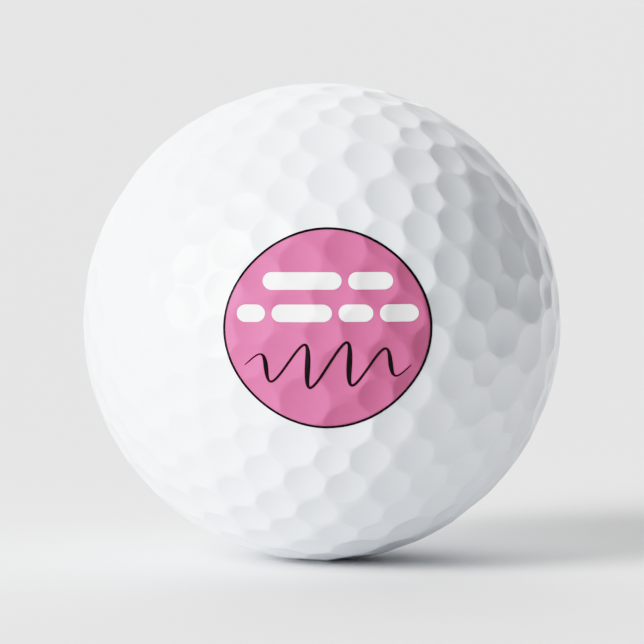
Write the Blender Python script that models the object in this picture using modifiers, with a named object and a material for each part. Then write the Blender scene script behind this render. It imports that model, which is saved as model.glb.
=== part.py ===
"""Golf ball of regulation size, as the pieces it is moulded and printed from.

A solid rubber core sits in a casing, and the casing in a dimpled cover.  Casing and cover are each
two cups that meet on the mould's parting plane.  A round badge is printed on the cover: a field of
colour, an outline, plain dashes and one waved line, each a film of ink that follows the dimples.

Metres, +Z up.  The origin is the ball's centre and the badge faces -Y, a little up and to the right.
Run it with blender --background --python part.py, or from Blender's text editor.
"""

import math

import bmesh
import bpy
from mathutils import Matrix, Vector

# Ball and its layers
BALL_RADIUS = 0.021335  # 1.680 inches across, the smallest that the rules of golf allow
COVER_THICKNESS = 0.00130
CASING_THICKNESS = 0.00120
LAYER_GAP = 0.00005  # between one layer and the next, and between two cups at the parting plane

CASING_RADIUS = BALL_RADIUS - COVER_THICKNESS - LAYER_GAP
CORE_RADIUS = CASING_RADIUS - CASING_THICKNESS - LAYER_GAP

# Dimples: 432 in three sizes, with the full symmetry of an icosahedron
LARGE = 0.00428
MEDIUM = 0.00360
SMALL = 0.00305
DEPTH_SHARE = 0.065  # of a dimple's diameter, from the ball's sphere to its lowest point
RIM_POINTS = 10
CORNER_SPACING = math.degrees(math.atan(2.0))  # between neighbouring corners of an icosahedron
FACE_TURN = 36.0  # from the direction of a neighbouring corner to that of a face's middle
# Each set is a diameter, the angle from a corner, and the turn from the nearest neighbouring corner
DIMPLE_SETS = [
    (LARGE, 0.0, 0.0),
    (LARGE, 11.92, FACE_TURN),
    (SMALL, 16.82, 0.0),
    (MEDIUM, 25.85, 0.0),
    (MEDIUM, 22.12, 22.65),
    (MEDIUM, 31.58, FACE_TURN),
    (MEDIUM, 48.80, FACE_TURN),
]

# The parting plane's axis goes through a corner of the pattern, just below the badge
POLE_AZIMUTH = -4.2  # right of -Y
POLE_ELEVATION = -14.0
POLE_SPIN = 2.6

# Printed badge, flat as its artwork is before it wraps onto the ball
BADGE_AZIMUTH = 1.5
BADGE_ELEVATION = 3.5
BADGE_WIDTH = 0.01808
BADGE_HEIGHT = 0.01736
BADGE_SQUARING = 0.00008  # how far the sides are pushed out beyond an ellipse
OUTLINE_WIDTH = 0.00022
OUTLINE_POINTS = 72
INK_THICKNESS = 0.00004
INK_GAP = 0.00002  # under each film of ink, and beside it

DASH_HEIGHT = 0.00150
DASH_SPACE = 0.00060
DASH_END_POINTS = 7
UPPER_DASHES = (0.0041, [0.0068, 0.0039])  # height above the badge's middle, then the lengths
LOWER_DASHES = (0.0013, [0.0024, 0.0052, 0.0030, 0.0034])

WAVE_HEIGHT = -0.0032
WAVE_LENGTH = 0.0145
WAVE_COUNT = 4
WAVE_SWING = 0.0020
WAVE_SLANT = 0.35
WAVE_POINTS = 120
PEN_THIN = 0.00024
PEN_THICK = 0.00050

TURNED_STEPS = 32  # round a turned piece
ARC_STEPS = 8  # from the pole of a turned piece to its rim
MERGE = 0.00001

# Linear colour, roughness
COVER_WHITE = ((0.86, 0.88, 0.91), 0.18)
CASING_CREAM = ((0.78, 0.72, 0.55), 0.45)
CORE_BLUE = ((0.16, 0.30, 0.42), 0.75)
FIELD_PINK = ((0.72, 0.21, 0.41), 0.22)
OUTLINE_BLACK = ((0.010, 0.010, 0.012), 0.25)
DASH_WHITE = ((0.92, 0.92, 0.92), 0.22)


def facing(azimuth, elevation, spin=0.0):
    """A turn about the origin that takes +Z to a direction given from -Y, right and up, in degrees."""
    turn = Matrix.Rotation(math.radians(azimuth), 4, "Z")
    tip = Matrix.Rotation(math.radians(90.0 - elevation), 4, "X")
    return turn @ tip @ Matrix.Rotation(math.radians(spin), 4, "Z")


POLE_FRAME = facing(POLE_AZIMUTH, POLE_ELEVATION, POLE_SPIN)
BADGE_FRAME = facing(BADGE_AZIMUTH, BADGE_ELEVATION)


def clear_scene():
    for old in list(bpy.data.objects):
        bpy.data.objects.remove(old, do_unlink=True)


def new_collection(name):
    collection = bpy.data.collections.new(name)
    bpy.context.scene.collection.children.link(collection)
    return collection


def new_object(name, mesh, collection, frame):
    obj = bpy.data.objects.new(name, mesh)
    obj.matrix_world = frame
    collection.objects.link(obj)
    return obj


def mesh_from(bm, name):
    mesh = bpy.data.meshes.new(name)
    bm.to_mesh(mesh)
    bm.free()
    return mesh


def material(name, finish):
    colour, roughness = finish
    made = bpy.data.materials.new(name)
    made.use_nodes = True
    shader = made.node_tree.nodes["Principled BSDF"]
    shader.inputs["Base Color"].default_value = (*colour, 1.0)
    shader.inputs["Roughness"].default_value = roughness
    shader.inputs["Metallic"].default_value = 0.0
    return made


def boolean(obj, operation, cutter):
    cut = obj.modifiers.new(operation.lower(), "BOOLEAN")
    cut.operation = operation
    cut.solver = "EXACT"
    cut.object = cutter


def as_cutter(obj):
    obj.hide_render = True
    obj.display_type = "WIRE"
    return obj


# Dimple pattern


def polar(angle, azimuth):
    """The unit vector at an angle from +Z, both in degrees."""
    a, b = math.radians(angle), math.radians(azimuth)
    return Vector((math.sin(a) * math.cos(b), math.sin(a) * math.sin(b), math.cos(a)))


def frame_at(direction, towards):
    """A turn that takes +Z to direction and +X to the side where towards lies."""
    side = direction.cross(towards).normalized()
    return Matrix((side.cross(direction), side, direction)).transposed()


def corner_frames():
    """One frame at each of an icosahedron's 12 corners, with +X towards a neighbouring corner."""
    north, south = polar(0, 0), polar(180, 0)
    upper = [polar(CORNER_SPACING, 72 * k) for k in range(5)]
    lower = [-corner for corner in upper]
    frames = [frame_at(north, upper[0]), frame_at(south, lower[0])]
    frames += [frame_at(corner, north) for corner in upper]
    frames += [frame_at(corner, south) for corner in lower]
    return frames


def dimples():
    """Every dimple of the ball, as the frame at its middle and its angular radius."""
    found = []
    for corner in corner_frames():
        for diameter, angle, turn in DIMPLE_SETS:
            radius = math.asin(diameter / 2 / BALL_RADIUS)
            turns = [72 * k + turn for k in range(5)] if angle else [0]
            if turn not in (0.0, FACE_TURN):
                turns += [72 * k - turn for k in range(5)]  # the mirror image of each
            for azimuth in turns:
                middle = corner @ polar(angle, azimuth)
                towards = corner @ polar(angle + 10, azimuth)
                found.append((frame_at(middle, towards), radius))
    return found


def dimpled_ball():
    """The ball's outer surface: flat lands strung between the rims, and a hollow in each rim."""
    bm = bmesh.new()
    owner = bm.verts.layers.int.new("dimple")
    for index, (frame, radius) in enumerate(dimples()):
        for k in range(RIM_POINTS):
            place = frame @ polar(math.degrees(radius), 360 * (k + 0.5) / RIM_POINTS)
            bm.verts.new(place * BALL_RADIUS)[owner] = index
    bmesh.ops.convex_hull(bm, input=bm.verts)
    lids = [e for e in bm.edges if len({v[owner] for f in e.link_faces for v in f.verts}) == 1]
    bmesh.ops.dissolve_edges(bm, edges=lids, use_verts=False)
    rims = [face for face in bm.faces if len(face.verts) == RIM_POINTS]
    for vert in bmesh.ops.poke(bm, faces=rims)["verts"]:
        diameter = 2 * vert.link_edges[0].calc_length()
        vert.co = vert.co.normalized() * (BALL_RADIUS - DEPTH_SHARE * diameter)
    bmesh.ops.recalc_face_normals(bm, faces=bm.faces)
    return mesh_from(bm, "dimpled_ball")


# Turned pieces, in the parting plane's frame


def arc(radius, start, end, steps):
    """Points of a quarter or half circle in the XZ plane, by angle from +Z in degrees."""
    points = []
    for k in range(steps + 1):
        angle = math.radians(start + (end - start) * k / steps)
        points.append(Vector((radius * math.sin(angle), 0.0, radius * math.cos(angle))))
    return points


def turned(name, profile, collection):
    bm = bmesh.new()
    verts = [bm.verts.new(point) for point in profile]
    for first, second in zip(verts, verts[1:]):
        bm.edges.new((first, second))
    obj = new_object(name, mesh_from(bm, name), collection, POLE_FRAME)
    screw = obj.modifiers.new("turn", "SCREW")
    screw.angle = 2 * math.pi
    screw.steps = screw.render_steps = TURNED_STEPS
    screw.use_merge_vertices = True
    screw.merge_threshold = MERGE
    return obj


def make_core(parts):
    core = turned("core", arc(CORE_RADIUS, 0, 180, 2 * ARC_STEPS), parts)
    core.data.materials.append(material("core_rubber", CORE_BLUE))


def make_casing(name, finish, side, parts):
    """One cup of the casing, on the badge's side of the parting plane (side 1) or behind it (-1)."""
    outer = arc(CASING_RADIUS, 0, 90, ARC_STEPS)
    inner = arc(CASING_RADIUS - CASING_THICKNESS, 90, 0, ARC_STEPS)
    for rim in (outer[-1], inner[0]):
        rim.z = LAYER_GAP / 2
    profile = outer + inner
    if side < 0:
        profile = [Vector((p.x, 0.0, -p.z)) for p in reversed(profile)]
    turned(name, profile, parts).data.materials.append(finish)


def make_cover(name, finish, side, ball, hollow, parts, cutters):
    """One cup of the cover: its half of the dimpled ball, less the hollow for the casing."""
    reach = 1.5 * BALL_RADIUS
    bm = bmesh.new()
    bmesh.ops.create_cube(bm, size=2 * reach)
    place = POLE_FRAME @ Matrix.Translation((0, 0, side * (reach + LAYER_GAP / 2)))
    block = as_cutter(new_object(name + "_half_space", mesh_from(bm, "half_space"), cutters, place))
    cover = new_object(name, ball.copy(), parts, POLE_FRAME)
    cover.data.materials.append(finish)
    boolean(cover, "DIFFERENCE", hollow)
    boolean(cover, "INTERSECT", block)


# Printed badge


def badge_edge(inset):
    """The badge's outline, a circle slightly widened and squared, drawn in by inset."""
    points = []
    for k in range(OUTLINE_POINTS):
        angle = 2 * math.pi * k / OUTLINE_POINTS
        push = BADGE_SQUARING * math.cos(4 * angle) - inset
        x = (BADGE_WIDTH / 2 + push) * math.cos(angle)
        y = (BADGE_HEIGHT / 2 + push) * math.sin(angle)
        points.append((x, y))
    return points


def dash_outline(left, middle, length):
    """A bar with half-round ends, from its left end, at a height above the badge's middle."""
    radius = DASH_HEIGHT / 2
    points = []
    for end, turn in ((left + length - radius, -90), (left + radius, 90)):
        for k in range(DASH_END_POINTS):
            angle = math.radians(turn + 180 * k / (DASH_END_POINTS - 1))
            points.append((end + radius * math.cos(angle), middle + radius * math.sin(angle)))
    return points


def wave_point(t):
    """The middle of the waved line, from t = 0 at its left end to 1 at its right."""
    swing = WAVE_SWING * (0.35 + 0.65 * math.sin(math.pi * t))
    rise = swing * math.sin(2 * math.pi * WAVE_COUNT * t)
    return Vector(((t - 0.5) * WAVE_LENGTH + WAVE_SLANT * rise, WAVE_HEIGHT + rise))


def wave_outline():
    """A waved line that swells on each way down and tapers to its ends, as a broad pen draws it."""
    left, right = [], []
    nudge = 0.0001
    for k in range(WAVE_POINTS + 1):
        t = k / WAVE_POINTS
        along = (wave_point(t + nudge) - wave_point(t - nudge)).normalized()
        falling = max(0.0, -math.cos(2 * math.pi * WAVE_COUNT * t))
        taper = math.sin(math.pi * min(max(t, 0.01), 0.99)) ** 0.25
        half = (PEN_THIN + (PEN_THICK - PEN_THIN) * falling**2) / 2 * taper
        across = Vector((-along.y, along.x)) * half
        left.append(wave_point(t) + across)
        right.append(wave_point(t) - across)
    return right + left[::-1]


def prism(name, outlines, cutters):
    """A cutter that reaches out through the badge: flat outlines, the later ones holes in the first."""
    curve = bpy.data.curves.new(name, "CURVE")
    curve.dimensions = "2D"
    curve.fill_mode = "BOTH"
    curve.extrude = BALL_RADIUS / 4
    for outline in outlines:
        spline = curve.splines.new("POLY")
        spline.points.add(len(outline) - 1)
        for point, (x, y) in zip(spline.points, outline):
            point.co = (x, y, 0.0, 1.0)
        spline.use_cyclic_u = True
    place = BADGE_FRAME @ Matrix.Translation((0, 0, BALL_RADIUS * 0.95))
    drawn = new_object(name + "_drawn", curve, cutters, place)
    seen = drawn.evaluated_get(bpy.context.evaluated_depsgraph_get())
    mesh = bpy.data.meshes.new_from_object(seen)
    bpy.data.objects.remove(drawn, do_unlink=True)
    bm = bmesh.new()
    bm.from_mesh(mesh)
    bmesh.ops.remove_doubles(bm, verts=bm.verts, dist=MERGE / 10)
    bmesh.ops.recalc_face_normals(bm, faces=bm.faces)
    bm.to_mesh(mesh)
    bm.free()
    return as_cutter(new_object(name + "_cutter", mesh, cutters, place))


def ink_sheet(ball, lift):
    """The ball's surface around the badge, raised by lift and still open at its edge."""
    towards_badge = POLE_FRAME.inverted().to_3x3() @ (BADGE_FRAME.to_3x3() @ Vector((0, 0, 1)))
    bm = bmesh.new()
    bm.from_mesh(ball)
    reach = 0.75 * BADGE_WIDTH
    middle = towards_badge * BALL_RADIUS
    far = [face for face in bm.faces if (face.calc_center_median() - middle).length > reach]
    bmesh.ops.delete(bm, geom=far, context="FACES")
    bmesh.ops.scale(bm, verts=bm.verts, vec=Vector((1, 1, 1)) * (1 + lift / BALL_RADIUS))
    return mesh_from(bm, "ink_sheet")


def ink(name, finish, sheet, outlines, parts, cutters):
    """A film of ink of the given outlines, cut from a thickened sheet."""
    film = new_object(name, sheet.copy(), parts, POLE_FRAME)
    film.data.materials.append(finish)
    thicken = film.modifiers.new("thicken", "SOLIDIFY")
    thicken.thickness = INK_THICKNESS
    thicken.offset = 1.0
    boolean(film, "INTERSECT", prism(name, outlines, cutters))


def make_badge(ball, parts, cutters):
    base = ink_sheet(ball, INK_GAP)
    top = ink_sheet(ball, 2 * INK_GAP + INK_THICKNESS)
    pink = material("field_ink", FIELD_PINK)
    black = material("outline_ink", OUTLINE_BLACK)
    white = material("dash_ink", DASH_WHITE)
    ink("badge_outline", black, base, [badge_edge(0), badge_edge(OUTLINE_WIDTH)], parts, cutters)
    ink("badge_field", pink, base, [badge_edge(OUTLINE_WIDTH + INK_GAP)], parts, cutters)
    for row, (height, lengths) in (("upper", UPPER_DASHES), ("lower", LOWER_DASHES)):
        left = -(sum(lengths) + DASH_SPACE * (len(lengths) - 1)) / 2
        for number, length in enumerate(lengths, 1):
            outline = dash_outline(left, height, length)
            ink(f"badge_{row}_dash_{number}", white, top, [outline], parts, cutters)
            left += length + DASH_SPACE
    ink("badge_waved_line", black, top, [wave_outline()], parts, cutters)


def build():
    clear_scene()
    parts = new_collection("golf_ball")
    cutters = new_collection("cutters")
    ball = dimpled_ball()
    hollow = as_cutter(turned("cover_hollow", arc(CASING_RADIUS + LAYER_GAP, 0, 180, 2 * ARC_STEPS), cutters))
    cover_white = material("cover_white", COVER_WHITE)
    casing_cream = material("casing_cream", CASING_CREAM)
    for half, side in (("front", 1), ("back", -1)):
        make_cover(f"cover_{half}_half", cover_white, side, ball, hollow, parts, cutters)
        make_casing(f"casing_{half}_half", casing_cream, side, parts)
    make_core(parts)
    make_badge(ball, parts, cutters)


build()
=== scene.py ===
"""The looks of a regulation golf ball: its fine dimpled cover, printed badge, casing and core.

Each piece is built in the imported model's frame, in metres, and replaces the CAD node of the same
shape.  One formula gives the cover's surface, and the films of ink lie on it wherever they are.
"""

import math

import bmesh
import bpy
import numpy as np
from mathutils import Matrix, Vector
from mathutils.geometry import delaunay_2d_cdt


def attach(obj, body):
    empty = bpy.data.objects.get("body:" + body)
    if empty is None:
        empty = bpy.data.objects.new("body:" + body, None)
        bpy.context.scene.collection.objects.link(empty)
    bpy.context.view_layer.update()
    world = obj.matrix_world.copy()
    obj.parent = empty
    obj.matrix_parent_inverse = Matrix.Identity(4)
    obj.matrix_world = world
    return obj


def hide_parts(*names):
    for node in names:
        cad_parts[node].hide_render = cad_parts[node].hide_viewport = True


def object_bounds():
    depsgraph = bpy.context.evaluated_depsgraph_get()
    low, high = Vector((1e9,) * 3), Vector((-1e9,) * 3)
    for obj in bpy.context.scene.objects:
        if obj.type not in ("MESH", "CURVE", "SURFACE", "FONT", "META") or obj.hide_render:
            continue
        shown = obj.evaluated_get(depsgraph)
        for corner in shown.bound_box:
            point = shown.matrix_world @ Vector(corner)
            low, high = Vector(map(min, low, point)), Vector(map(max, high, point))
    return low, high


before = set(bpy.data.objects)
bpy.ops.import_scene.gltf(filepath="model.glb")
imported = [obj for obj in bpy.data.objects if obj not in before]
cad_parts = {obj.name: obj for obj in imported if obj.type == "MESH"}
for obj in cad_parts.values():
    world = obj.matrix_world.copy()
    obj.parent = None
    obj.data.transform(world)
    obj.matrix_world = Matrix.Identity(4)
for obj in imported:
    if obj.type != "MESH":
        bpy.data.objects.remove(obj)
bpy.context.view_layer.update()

# Ball and layers, in metres, as in the CAD model
BALL_RADIUS = 0.021335
COVER_THICKNESS = 0.00130
CASING_THICKNESS = 0.00120
LAYER_GAP = 0.00005
SEAM_GAP = 0.000004  # between the two cups of the cover, which the moulding closes up
CASING_RADIUS = BALL_RADIUS - COVER_THICKNESS - LAYER_GAP
CORE_RADIUS = CASING_RADIUS - CASING_THICKNESS - LAYER_GAP

# Dimples, each set a diameter, an angle from a corner of the pattern and a turn from the next corner
LARGE = 0.00428
MEDIUM = 0.00360
SMALL = 0.00305
DEPTH_SHARE = 0.065  # of the diameter
RIM_SPREAD = 1.03  # a rounded rim reaches a little further than the CAD's sharp one
RIM_SOFTNESS = 0.000015  # the depth over which a rim rounds off
RIM_POINTS = 36
RINGS = (0.97, 0.92, 0.84, 0.72, 0.55, 0.35, 0.15)  # down a dimple, as shares of its radius
LAND_EDGE = 0.00030  # longest edge between the rims
LAND_PASSES = 3  # times that the edges between the rims are halved at most
BLOCK = 4096  # directions that the surface is worked out for at a time
CORNER_SPACING = math.degrees(math.atan(2.0))  # between neighbouring corners of an icosahedron
FACE_TURN = 36.0  # from the direction of a neighbouring corner to that of a face's middle
DIMPLE_SETS = [
    (LARGE, 0.0, 0.0),
    (LARGE, 11.92, FACE_TURN),
    (SMALL, 16.82, 0.0),
    (MEDIUM, 25.85, 0.0),
    (MEDIUM, 22.12, 22.65),
    (MEDIUM, 31.58, FACE_TURN),
    (MEDIUM, 48.80, FACE_TURN),
]
POLE_AZIMUTH = -4.2  # right of -Y
POLE_ELEVATION = -14.0
POLE_SPIN = 2.6

# Badge, flat as its artwork is before it wraps onto the ball
BADGE_AZIMUTH = 1.5  # right of -Y
BADGE_ELEVATION = 3.5
BADGE_WIDTH = 0.01808  # of the ellipse that its shape starts from
BADGE_HEIGHT = 0.01736
BADGE_SQUARING = 0.00008  # how far its sides, top and bottom are pushed out beyond the ellipse
OUTLINE_WIDTH = 0.00022
OUTLINE_STEPS = 615  # round the badge
OUTLINE_ROWS = 4  # across the line
INK_THICKNESS = 0.000012
INK_GAP = 0.000010  # under each film of ink, and beside it
INK_STEP = 0.00012  # longest edge in the field and along a dash
WRAP_PASSES = 4  # corrections of a point's height for the dimple that it lies in

DASH_HEIGHT = 0.00150
DASH_SPACE = 0.00060
DASH_END_STEPS = 8  # along each half-round end
DASH_ROWS = 7  # from the middle of a dash to its edge
UPPER_DASHES = (0.0041, [0.0068, 0.0039])  # height above the badge's middle, then the lengths
LOWER_DASHES = (0.0013, [0.0024, 0.0052, 0.0030, 0.0034])

WAVE_HEIGHT = -0.0032
WAVE_LENGTH = 0.0145
WAVE_COUNT = 4
WAVE_SWING = 0.0020
WAVE_ENDS = 0.35  # the swing at the ends, as a share of the swing in the middle
WAVE_SLANT = 0.35
WAVE_STEPS = 500
PEN_THIN = 0.00024
PEN_THICK = 0.00050
PEN_TAPER = 0.25  # the lower it is, the later the line thins towards its ends
PEN_ROWS = 2  # from the middle of the line to its edge

# Inside the ball
TURNED_STEPS = 144  # round a turned piece
HOLLOW_STEPS = 8  # from the rim of a cup's hollow to its pole
CASING_ARC_STEPS = 36
CASING_ARC_END = 89.4  # degrees from the pole, where the rim's rounded edge starts
RIM_BREAK = 0.00012  # how far the edges of a casing cup's rim are rounded
CORE_ARC_STEPS = 40
CORE_ARC_END = 89.6  # degrees from the pole, where the flash starts
FLASH_HEIGHT = 0.00002
FLASH_WIDTH = 0.00006

SHARP_ANGLE = 40.0  # in degrees, where shading breaks

# Linear colours, each with the shade that it varies to
COVER_WHITE = (0.82, 0.868, 0.925)
COVER_SHADE = (0.80, 0.852, 0.915)
CASING_CREAM = (0.78, 0.72, 0.55)
CASING_SHADE = (0.70, 0.63, 0.46)
CORE_BLUE = (0.16, 0.30, 0.42)
CORE_FLECK = (0.55, 0.62, 0.66)
FIELD_PINK = (0.545, 0.104, 0.230)
FIELD_SHADE = (0.525, 0.098, 0.218)
OUTLINE_BLACK = (0.0015, 0.0004, 0.0010)
OUTLINE_SHADE = (0.0030, 0.0010, 0.0020)
DASH_WHITE = (0.92, 0.92, 0.92)
DASH_SHADE = (0.88, 0.88, 0.88)
FLOOR_GREY = (0.80, 0.80, 0.80)

# The studio, with a long lens that looks from -Y and a little above
CAMERA_ELEVATION = 5.0
CAMERA_DISTANCE = 0.708
CAMERA_LENS = 442.8
FLOOR_SIZE = 12.0
WARM = (1.0, 0.98, 0.96)
COOL = (0.96, 0.98, 1.0)
SOFT_LIGHTS = [  # azimuth right of -Y, elevation and width across, in degrees, then strength, colour
    ("key", -60.0, 15.0, 30.0, 7.0, COOL),
    ("key_high", -50.0, 35.0, 30.0, 3.5, WARM),
    ("back_left", -150.0, 15.0, 70.0, 2.0, COOL),
    ("back", 180.0, 10.0, 70.0, 1.5, COOL),
    ("top", 180.0, 60.0, 60.0, 1.6, WARM),
    ("top_right", 120.0, 60.0, 60.0, 0.4, COOL),
]

# The camera's response: print = WHITE_PRINT * (1 - exp(-light))
WHITE_PRINT = 0.97
BRIGHTEST_LIGHT = 6.0
RESPONSE_STEPS = 28


def facing(azimuth, elevation, spin=0.0):
    """A turn about the origin that takes +Z to a direction given from -Y, right and up, in degrees."""
    turn = Matrix.Rotation(math.radians(azimuth), 4, "Z")
    tip = Matrix.Rotation(math.radians(90.0 - elevation), 4, "X")
    return turn @ tip @ Matrix.Rotation(math.radians(spin), 4, "Z")


POLE_FRAME = facing(POLE_AZIMUTH, POLE_ELEVATION, POLE_SPIN)
BADGE_FRAME = facing(BADGE_AZIMUTH, BADGE_ELEVATION)


# Dimple pattern, in the parting plane's frame


def polar(angle, azimuth):
    """The unit vector at an angle from +Z, both in degrees."""
    a, b = math.radians(angle), math.radians(azimuth)
    return Vector((math.sin(a) * math.cos(b), math.sin(a) * math.sin(b), math.cos(a)))


def frame_at(direction, towards):
    """A turn that takes +Z to direction and +X to the side where towards lies."""
    side = direction.cross(towards).normalized()
    return Matrix((side.cross(direction), side, direction)).transposed()


def corner_frames():
    """One frame at each of an icosahedron's 12 corners, with +X towards a neighbouring corner."""
    north, south = polar(0, 0), polar(180, 0)
    upper = [polar(CORNER_SPACING, 72 * k) for k in range(5)]
    lower = [-corner for corner in upper]
    frames = [frame_at(north, upper[0]), frame_at(south, lower[0])]
    frames += [frame_at(corner, north) for corner in upper]
    frames += [frame_at(corner, south) for corner in lower]
    return frames


def dimples():
    """Every dimple of the ball, as the frame at its middle and its radius."""
    found = []
    for corner in corner_frames():
        for diameter, angle, turn in DIMPLE_SETS:
            turns = [72 * k + turn for k in range(5)] if angle else [0]
            if turn not in (0.0, FACE_TURN):
                turns += [72 * k - turn for k in range(5)]  # the mirror image of each
            for azimuth in turns:
                middle = corner @ polar(angle, azimuth)
                towards = corner @ polar(angle + 10, azimuth)  # straight out from the corner
                found.append((frame_at(middle, towards), diameter / 2))
    return found


DIMPLES = dimples()
MIDDLES = np.array([place @ Vector((0, 0, 1)) for place, radius in DIMPLES])
REACHES = np.array([radius * RIM_SPREAD for place, radius in DIMPLES])
DEPTHS = np.array([2 * radius * DEPTH_SHARE for place, radius in DIMPLES])


def surface_radius(directions):
    """Distance from the ball's centre to the cover's surface along each unit vector.

    A dimple's bowl is a parabola over the arc from its middle.  Where bowls and the ball's sphere
    meet, a soft maximum rounds off the rim.
    """
    radii = np.empty(len(directions))
    for start in range(0, len(directions), BLOCK):
        block = directions[start:start + BLOCK]
        arcs = BALL_RADIUS * np.arccos(np.clip(block @ MIDDLES.T, -1.0, 1.0))
        bowls = DEPTHS * (1.0 - (arcs / REACHES) ** 2)
        depth = RIM_SOFTNESS * np.log1p(np.exp(bowls / RIM_SOFTNESS).sum(axis=1))
        radii[start:start + BLOCK] = BALL_RADIUS - depth
    return radii


# Materials


def new_material(name, colour, roughness):
    """A Principled material, and the node tree and shader to add its detail to."""
    made = bpy.data.materials.new(name)
    made.use_nodes = True
    shader = made.node_tree.nodes["Principled BSDF"]
    shader.inputs["Base Color"].default_value = (*colour, 1.0)
    shader.inputs["Roughness"].default_value = roughness
    return made, made.node_tree, shader


def noise(tree, size, detail=2.0):
    """A noise over the object whose blobs are about size across, in metres."""
    place = tree.nodes.new("ShaderNodeTexCoord")
    pattern = tree.nodes.new("ShaderNodeTexNoise")
    pattern.inputs["Scale"].default_value = 1.0 / size
    pattern.inputs["Detail"].default_value = detail
    tree.links.new(place.outputs["Object"], pattern.inputs["Vector"])
    return pattern.outputs["Fac"]


def spread(tree, value, low, high, start=0.3, end=0.7):
    """Map a noise's usual range onto low to high."""
    mapped = tree.nodes.new("ShaderNodeMapRange")
    mapped.inputs["From Min"].default_value = start
    mapped.inputs["From Max"].default_value = end
    mapped.inputs["To Min"].default_value = low
    mapped.inputs["To Max"].default_value = high
    tree.links.new(value, mapped.inputs["Value"])
    return mapped.outputs["Result"]


def tint(tree, shader, value, first, second):
    """Drive the base colour from one shade to another."""
    mix = tree.nodes.new("ShaderNodeMix")
    mix.data_type = "RGBA"
    mix.inputs["A"].default_value = (*first, 1.0)
    mix.inputs["B"].default_value = (*second, 1.0)
    tree.links.new(value, mix.inputs["Factor"])
    tree.links.new(mix.outputs["Result"], shader.inputs["Base Color"])


def bump(tree, shader, value, height):
    """Raise the surface by up to height where value is high, in metres."""
    raised = tree.nodes.new("ShaderNodeBump")
    raised.inputs["Distance"].default_value = height
    tree.links.new(value, raised.inputs["Height"])
    tree.links.new(raised.outputs["Normal"], shader.inputs["Normal"])


def cover_material():
    """White ionomer under a clear coat: a faint mottle, and a coat that is not quite even."""
    made, tree, shader = new_material("cover_white", COVER_WHITE, 0.3)
    shader.inputs["Subsurface Weight"].default_value = 0.15
    shader.inputs["Subsurface Radius"].default_value = (1.0, 0.9, 0.8)
    shader.inputs["Subsurface Scale"].default_value = 0.0008
    shader.inputs["Coat Weight"].default_value = 0.5
    shader.inputs["Coat Roughness"].default_value = 0.12
    tint(tree, shader, spread(tree, noise(tree, 0.004), 0.0, 1.0), COVER_WHITE, COVER_SHADE)
    tree.links.new(spread(tree, noise(tree, 0.0009), 0.30, 0.38), shader.inputs["Roughness"])
    bump(tree, shader, noise(tree, 0.0006, 1.0), 0.0000005)
    return made


def ink_material(name, colour, shade):
    """A satin ink, laid on a little thicker and thinner from place to place."""
    made, tree, shader = new_material(name, colour, 0.45)
    shader.inputs["Specular IOR Level"].default_value = 0.05
    tint(tree, shader, spread(tree, noise(tree, 0.0012), 0.0, 1.0), colour, shade)
    tree.links.new(spread(tree, noise(tree, 0.0005), 0.40, 0.50), shader.inputs["Roughness"])
    bump(tree, shader, noise(tree, 0.0005, 1.0), 0.0000005)
    return made


def casing_material():
    """Cream resin, with the streaks that it flowed into the mould with."""
    made, tree, shader = new_material("casing_cream", CASING_CREAM, 0.45)
    shader.inputs["Subsurface Weight"].default_value = 0.1
    shader.inputs["Subsurface Scale"].default_value = 0.001
    flow = noise(tree, 0.006, 4.0)
    tint(tree, shader, spread(tree, flow, 0.0, 1.0), CASING_CREAM, CASING_SHADE)
    tree.links.new(spread(tree, flow, 0.38, 0.52), shader.inputs["Roughness"])
    bump(tree, shader, noise(tree, 0.0004, 3.0), 0.000003)
    return made


def core_material():
    """Matt rubber, speckled with the regrind that cores are made with."""
    made, tree, shader = new_material("core_rubber", CORE_BLUE, 0.75)
    tint(tree, shader, spread(tree, noise(tree, 0.0006, 1.0), 0.0, 1.0, 0.62, 0.66), CORE_BLUE, CORE_FLECK)
    tree.links.new(spread(tree, noise(tree, 0.0015), 0.68, 0.85), shader.inputs["Roughness"])
    bump(tree, shader, noise(tree, 0.0003, 4.0), 0.000012)
    return made


# Pieces


def finished(bm, name, material, place, slot, *nodes):
    """A piece from a bmesh in a given frame, in place of the CAD nodes named."""
    bmesh.ops.recalc_face_normals(bm, faces=bm.faces)
    mesh = bpy.data.meshes.new(name)
    bm.to_mesh(mesh)
    bm.free()
    mesh.transform(place)
    mesh.shade_smooth()
    mesh.set_sharp_from_angle(angle=math.radians(SHARP_ANGLE))
    mesh.materials.append(material)
    piece = bpy.data.objects.new(name, mesh)
    bpy.context.scene.collection.objects.link(piece)
    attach(piece, "root")
    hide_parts(*nodes)
    return piece


def join_loops(bm, loops):
    """Quads between each closed loop of vertices and the next."""
    for first, second in zip(loops, loops[1:]):
        for k in range(len(first)):
            bm.faces.new((first[k - 1], first[k], second[k], second[k - 1]))


def close_loop(bm, loop, point):
    """Triangles from a closed loop of vertices to a point."""
    tip = bm.verts.new(point)
    for k in range(len(loop)):
        bm.faces.new((loop[k - 1], loop[k], tip))


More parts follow.
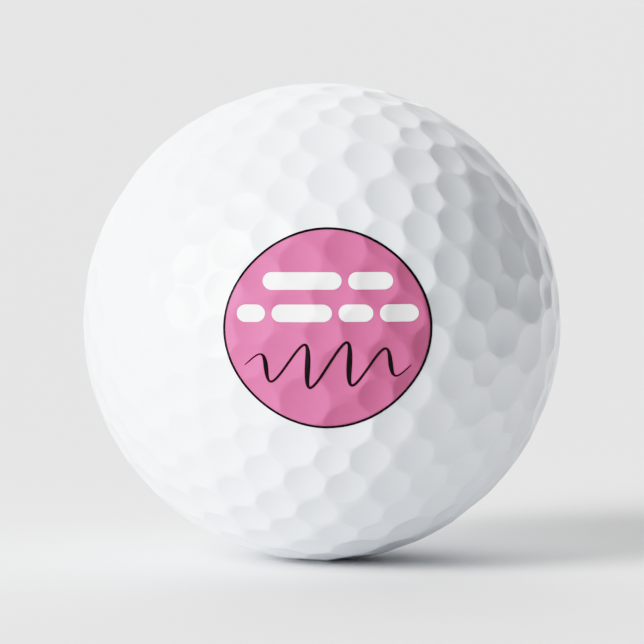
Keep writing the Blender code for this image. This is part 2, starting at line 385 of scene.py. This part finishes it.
def dimpled_surface():
    """The whole cover's outer surface: rings down each dimple, and triangles between the rims.

    The rims are joined up in a flat map of the ball, seen from the bottom corner of the pattern,
    where circles stay circles and the last dimple is left as the outside of the map.
    """
    bm = bmesh.new()
    circles = []
    turns = [360 * k / RIM_POINTS for k in range(RIM_POINTS)]
    for place, radius in DIMPLES:
        angle = math.degrees(math.asin(radius / BALL_RADIUS))
        steps = [angle * share for share in (1.0, *RINGS)]
        circles.append([[place @ polar(step, turn) for turn in turns] for step in steps])
    rims = [bm.verts.new(point) for rings in circles for point in rings[0]]
    flat = [vert.co.xy / (1 + vert.co.z) for vert in rims]
    sides = [(k, k + 1 if (k + 1) % RIM_POINTS else k + 1 - RIM_POINTS) for k in range(len(rims))]
    for corners in delaunay_2d_cdt(flat, sides, [], 0, 1e-9)[2]:
        if len({corner // RIM_POINTS for corner in corners}) > 1:
            bm.faces.new([rims[corner] for corner in corners])
    longest = LAND_EDGE / BALL_RADIUS
    for _ in range(LAND_PASSES):
        long = [edge for edge in bm.edges if not edge.is_boundary and edge.calc_length() > longest]
        bmesh.ops.subdivide_edges(bm, edges=long, cuts=1, use_grid_fill=True)
        bmesh.ops.triangulate(bm, faces=[f for f in bm.faces if len(f.verts) > 3])
    bm.verts.ensure_lookup_table()
    rims = [bm.verts[k:k + RIM_POINTS] for k in range(0, len(circles) * RIM_POINTS, RIM_POINTS)]
    for (place, radius), rim, rings in zip(DIMPLES, rims, circles):
        loops = [rim] + [[bm.verts.new(point) for point in ring] for ring in rings[1:]]
        join_loops(bm, loops)
        close_loop(bm, loops[-1], place @ Vector((0, 0, 1)))
    directions = np.array([vert.co.normalized() for vert in bm.verts])
    for vert, direction, radius in zip(bm.verts, directions, surface_radius(directions)):
        vert.co = direction * radius
    return bm


def make_cover(surface, name, side, material, node):
    """One cup of the cover: its half of the surface, a flat rim and the hollow for the casing."""
    bm = surface.copy()
    level = side * SEAM_GAP / 2
    cut = bmesh.ops.bisect_plane(
        bm,
        geom=bm.verts[:] + bm.edges[:] + bm.faces[:],
        dist=SEAM_GAP / 4,
        plane_co=(0, 0, level),
        plane_no=(0, 0, side),
        clear_inner=True,
    )
    edge = [item for item in cut["geom_cut"] if isinstance(item, bmesh.types.BMVert)]
    edge.sort(key=lambda vert: math.atan2(vert.co.y, vert.co.x))
    turns = [math.atan2(vert.co.y, vert.co.x) for vert in edge]
    hollow = CASING_RADIUS + LAYER_GAP
    loops = [edge]
    for step in range(HOLLOW_STEPS):
        angle = math.pi / 2 * step / HOLLOW_STEPS
        out, up = hollow * math.cos(angle), max(hollow * math.sin(angle), SEAM_GAP / 2)
        loops.append([bm.verts.new((out * math.cos(t), out * math.sin(t), side * up)) for t in turns])
    join_loops(bm, loops)
    close_loop(bm, loops[-1], (0, 0, side * hollow))
    finished(bm, name, material, POLE_FRAME, "cover", node)


def turned(profile):
    """A bmesh turned about Z from a profile of (out, up) points that starts and ends on the axis."""
    bm = bmesh.new()
    turns = [2 * math.pi * k / TURNED_STEPS for k in range(TURNED_STEPS)]
    loops = []
    for out, up in profile[1:-1]:
        loops.append([bm.verts.new((out * math.cos(t), out * math.sin(t), up)) for t in turns])
    join_loops(bm, loops)
    close_loop(bm, loops[0], (0, 0, profile[0][1]))
    close_loop(bm, loops[-1], (0, 0, profile[-1][1]))
    return bm


def arc(radius, start, end, steps):
    """(out, up) points round a circle about the ball's middle, by angle from +Z in degrees."""
    angles = [math.radians(start + (end - start) * k / steps) for k in range(steps + 1)]
    return [(radius * math.sin(a), radius * math.cos(a)) for a in angles]


def make_casing(name, side, material, node):
    """One cup of the casing, with the edges of its rim broken."""
    inside = CASING_RADIUS - CASING_THICKNESS
    level = LAYER_GAP / 2
    corner = RIM_BREAK * 0.3  # half way round a rounded edge
    rim = [
        (CASING_RADIUS - corner, level + corner),
        (CASING_RADIUS - RIM_BREAK, level),
        (inside + RIM_BREAK, level),
        (inside + corner, level + corner),
    ]
    outer = arc(CASING_RADIUS, 0, CASING_ARC_END, CASING_ARC_STEPS)
    inner = arc(inside, CASING_ARC_END, 0, CASING_ARC_STEPS)
    profile = [(out, side * up) for out, up in outer + rim + inner]
    finished(turned(profile), name, material, POLE_FRAME, "casing", node)


def make_core(material):
    """The moulded core, with the thin line of flash left round it where its mould parts."""
    upper = arc(CORE_RADIUS, 0, CORE_ARC_END, CORE_ARC_STEPS)
    flash = [(CORE_RADIUS + FLASH_HEIGHT, side * FLASH_WIDTH / 2) for side in (1, -1)]
    lower = [(out, -up) for out, up in reversed(upper)]
    finished(turned(upper + flash + lower), "rubber_core", material, POLE_FRAME, "core", "core")


# Printed badge


def on_cover(points, lift):
    """Points (x, y) of the badge's flat artwork, put on the cover and raised by lift."""
    turn = np.array(POLE_FRAME.inverted().to_3x3() @ BADGE_FRAME.to_3x3())
    flat = np.array(points, dtype=float)
    radius = np.full(len(flat), BALL_RADIUS)
    for _ in range(WRAP_PASSES):
        depth = np.sqrt(radius**2 - (flat**2).sum(axis=1))
        placed = np.column_stack((flat, depth)) @ turn.T
        radius = surface_radius(placed / np.linalg.norm(placed, axis=1)[:, None]) + lift
    return placed


def make_film(part, rows, ring, level, material, slot):
    """A film of ink from rows of points of the flat artwork, as closed loops if it is a ring.

    A film on level 0 is printed on the cover, and one on level 1 on the badge's field.
    """
    lift = INK_GAP + level * (INK_GAP + INK_THICKNESS)
    across = len(rows[0])
    bm = bmesh.new()
    placed = on_cover([point for row in rows for point in row], lift)
    verts = [bm.verts.new(point) for point in placed]
    for i in range(len(rows) - 1):
        for j in range(0 if ring else 1, across):
            corners = (i * across + (j - 1) % across, i * across + j)
            bm.faces.new([verts[c] for c in (*corners, corners[1] + across, corners[0] + across)])
    bmesh.ops.remove_doubles(bm, verts=bm.verts, dist=INK_GAP / 10)
    piece = finished(bm, f"printed_{part}", material, POLE_FRAME, slot, f"badge_{part}")
    thicken = piece.modifiers.new("thicken", "SOLIDIFY")
    thicken.thickness = INK_THICKNESS
    thicken.offset = 1.0
    return piece


def badge_edge(angle, inset):
    """A point of the badge's edge, an ellipse slightly pushed out at four sides, drawn in by inset."""
    push = BADGE_SQUARING * math.cos(4 * angle) - inset
    return (BADGE_WIDTH / 2 + push) * math.cos(angle), (BADGE_HEIGHT / 2 + push) * math.sin(angle)


def outline_rows():
    """Loops from the outline's outer edge to its inner one."""
    angles = [2 * math.pi * k / OUTLINE_STEPS for k in range(OUTLINE_STEPS)]
    insets = [OUTLINE_WIDTH * k / OUTLINE_ROWS for k in range(OUTLINE_ROWS + 1)]
    return [[badge_edge(angle, inset) for angle in angles] for inset in insets]


def field_rows():
    """A square grid drawn out into the shape of the badge's field."""
    steps = round(BADGE_WIDTH / INK_STEP)
    inset = OUTLINE_WIDTH + INK_GAP
    rows = []
    for i in range(steps + 1):
        row = []
        for j in range(steps + 1):
            u, v = 2 * j / steps - 1, 2 * i / steps - 1
            x, y = u * math.sqrt(1 - v * v / 2), v * math.sqrt(1 - u * u / 2)
            share, angle = math.hypot(x, y), math.atan2(y, x)
            edge_x, edge_y = badge_edge(angle, inset)
            row.append((share * edge_x, share * edge_y))
        rows.append(row)
    return rows


def dash_rows(left, middle, length):
    """Columns across a bar with half-round ends, from its left end to its right."""
    radius = DASH_HEIGHT / 2
    quarter = [math.pi / 2 * k / DASH_END_STEPS for k in range(DASH_END_STEPS + 1)]
    ends = [radius * (1 - math.cos(angle)) for angle in quarter]
    steps = round((length - DASH_HEIGHT) / INK_STEP)
    places = ends + [radius + (length - DASH_HEIGHT) * k / steps for k in range(1, steps)]
    places += [length - end for end in reversed(ends)]
    rows = []
    for place in places:
        beyond = max(radius - place, place - (length - radius), 0.0)
        half = math.sqrt(max(radius**2 - beyond**2, 0.0))
        shares = [k / DASH_ROWS for k in range(-DASH_ROWS, DASH_ROWS + 1)]
        rows.append([(left + place, middle + half * share) for share in shares])
    return rows


def wave_point(t):
    """The middle of the waved line, from t = 0 at its left end to 1 at its right."""
    swing = WAVE_SWING * (WAVE_ENDS + (1 - WAVE_ENDS) * math.sin(math.pi * t))
    rise = swing * math.sin(2 * math.pi * WAVE_COUNT * t)
    return Vector(((t - 0.5) * WAVE_LENGTH + WAVE_SLANT * rise, WAVE_HEIGHT + rise))


def wave_rows():
    """A waved line that swells on each way down and tapers to its ends, as a broad pen draws it."""
    nudge = 0.0001
    rows = []
    for k in range(WAVE_STEPS + 1):
        t = k / WAVE_STEPS
        along = (wave_point(t + nudge) - wave_point(t - nudge)).normalized()
        falling = max(0.0, -math.cos(2 * math.pi * WAVE_COUNT * t))
        taper = math.sin(math.pi * min(max(t, 0.001), 0.999)) ** PEN_TAPER
        half = (PEN_THIN + (PEN_THICK - PEN_THIN) * falling**2) / 2 * taper
        across = Vector((-along.y, along.x)) * half
        shares = [j / PEN_ROWS for j in range(-PEN_ROWS, PEN_ROWS + 1)]
        rows.append([tuple(wave_point(t) + across * share) for share in shares])
    return rows


def make_badge():
    """The outline and the field on the cover, then the dashes and the waved line on the field."""
    pink = ink_material("field_ink", FIELD_PINK, FIELD_SHADE)
    black = ink_material("outline_ink", OUTLINE_BLACK, OUTLINE_SHADE)
    white = ink_material("dash_ink", DASH_WHITE, DASH_SHADE)
    make_film("outline", outline_rows(), True, 0, black, "black_ink")
    make_film("field", field_rows(), False, 0, pink, "pink_ink")
    for row, (height, lengths) in (("upper", UPPER_DASHES), ("lower", LOWER_DASHES)):
        left = -(sum(lengths) + DASH_SPACE * (len(lengths) - 1)) / 2
        for number, length in enumerate(lengths, 1):
            rows = dash_rows(left, height, length)
            make_film(f"{row}_dash_{number}", rows, False, 1, white, "white_ink")
            left += length + DASH_SPACE
    make_film("waved_line", wave_rows(), False, 1, black, "black_ink")


# Studio


def make_floor():
    """A plain pale floor under the ball's lowest point, wide enough to fill the view."""
    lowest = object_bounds()[0][2]
    bm = bmesh.new()
    bmesh.ops.create_grid(bm, x_segments=1, y_segments=1, size=FLOOR_SIZE / 2)
    mesh = bpy.data.meshes.new("floor")
    bm.to_mesh(mesh)
    bm.free()
    mesh.materials.append(new_material("floor_grey", FLOOR_GREY, 0.9)[0])
    floor = bpy.data.objects.new("floor", mesh)
    floor.location = (0, 0, lowest)
    bpy.context.scene.collection.objects.link(floor)


def make_lights():
    """Big soft lights a long way off, so that they light the floor evenly, in a dark room."""
    for name, azimuth, elevation, width, strength, colour in SOFT_LIGHTS:
        lamp = bpy.data.lights.new(name, "SUN")
        lamp.energy = strength
        lamp.color = colour
        lamp.angle = math.radians(width)
        light = bpy.data.objects.new(name, lamp)
        light.matrix_world = facing(azimuth, elevation)
        bpy.context.scene.collection.objects.link(light)


def make_response():
    """Print light as film does: straight in the shade, then ever more gently towards white."""
    settings = bpy.context.scene.view_settings
    settings.view_transform = "Standard"
    settings.use_curve_mapping = True
    mapping = settings.curve_mapping
    mapping.white_level = (BRIGHTEST_LIGHT, BRIGHTEST_LIGHT, BRIGHTEST_LIGHT)
    mapping.extend = "HORIZONTAL"
    curve = mapping.curves[3]
    curve.points[0].location = (0.0, 0.0)
    curve.points[1].location = (1.0, WHITE_PRINT * (1 - math.exp(-BRIGHTEST_LIGHT)))
    for k in range(1, RESPONSE_STEPS):
        share = (k / RESPONSE_STEPS) ** 2
        curve.points.new(share, WHITE_PRINT * (1 - math.exp(-BRIGHTEST_LIGHT * share)))
    for point in curve.points:
        point.handle_type = "VECTOR"
    mapping.update()


def make_camera():
    """A long lens looking at the ball's middle from a little above."""
    camera = bpy.data.cameras.new("camera")
    camera.lens = CAMERA_LENS
    camera.sensor_width = 36
    camera.clip_start = 0.01
    camera.clip_end = 50
    view = bpy.data.objects.new("camera", camera)
    turn = facing(0, CAMERA_ELEVATION)
    view.matrix_world = turn @ Matrix.Translation((0, 0, CAMERA_DISTANCE))
    bpy.context.scene.collection.objects.link(view)
    bpy.context.scene.camera = view


def build():
    """Make every piece of the ball, then the studio round it."""
    cover, casing = cover_material(), casing_material()
    surface = dimpled_surface()
    for half, side in (("front", 1), ("back", -1)):
        make_cover(surface, f"cover_{half}", side, cover, f"cover_{half}_half")
        make_casing(f"casing_{half}", side, casing, f"casing_{half}_half")
    surface.free()
    make_core(core_material())
    make_badge()
    make_floor()
    make_lights()
    make_camera()
    make_response()


build()
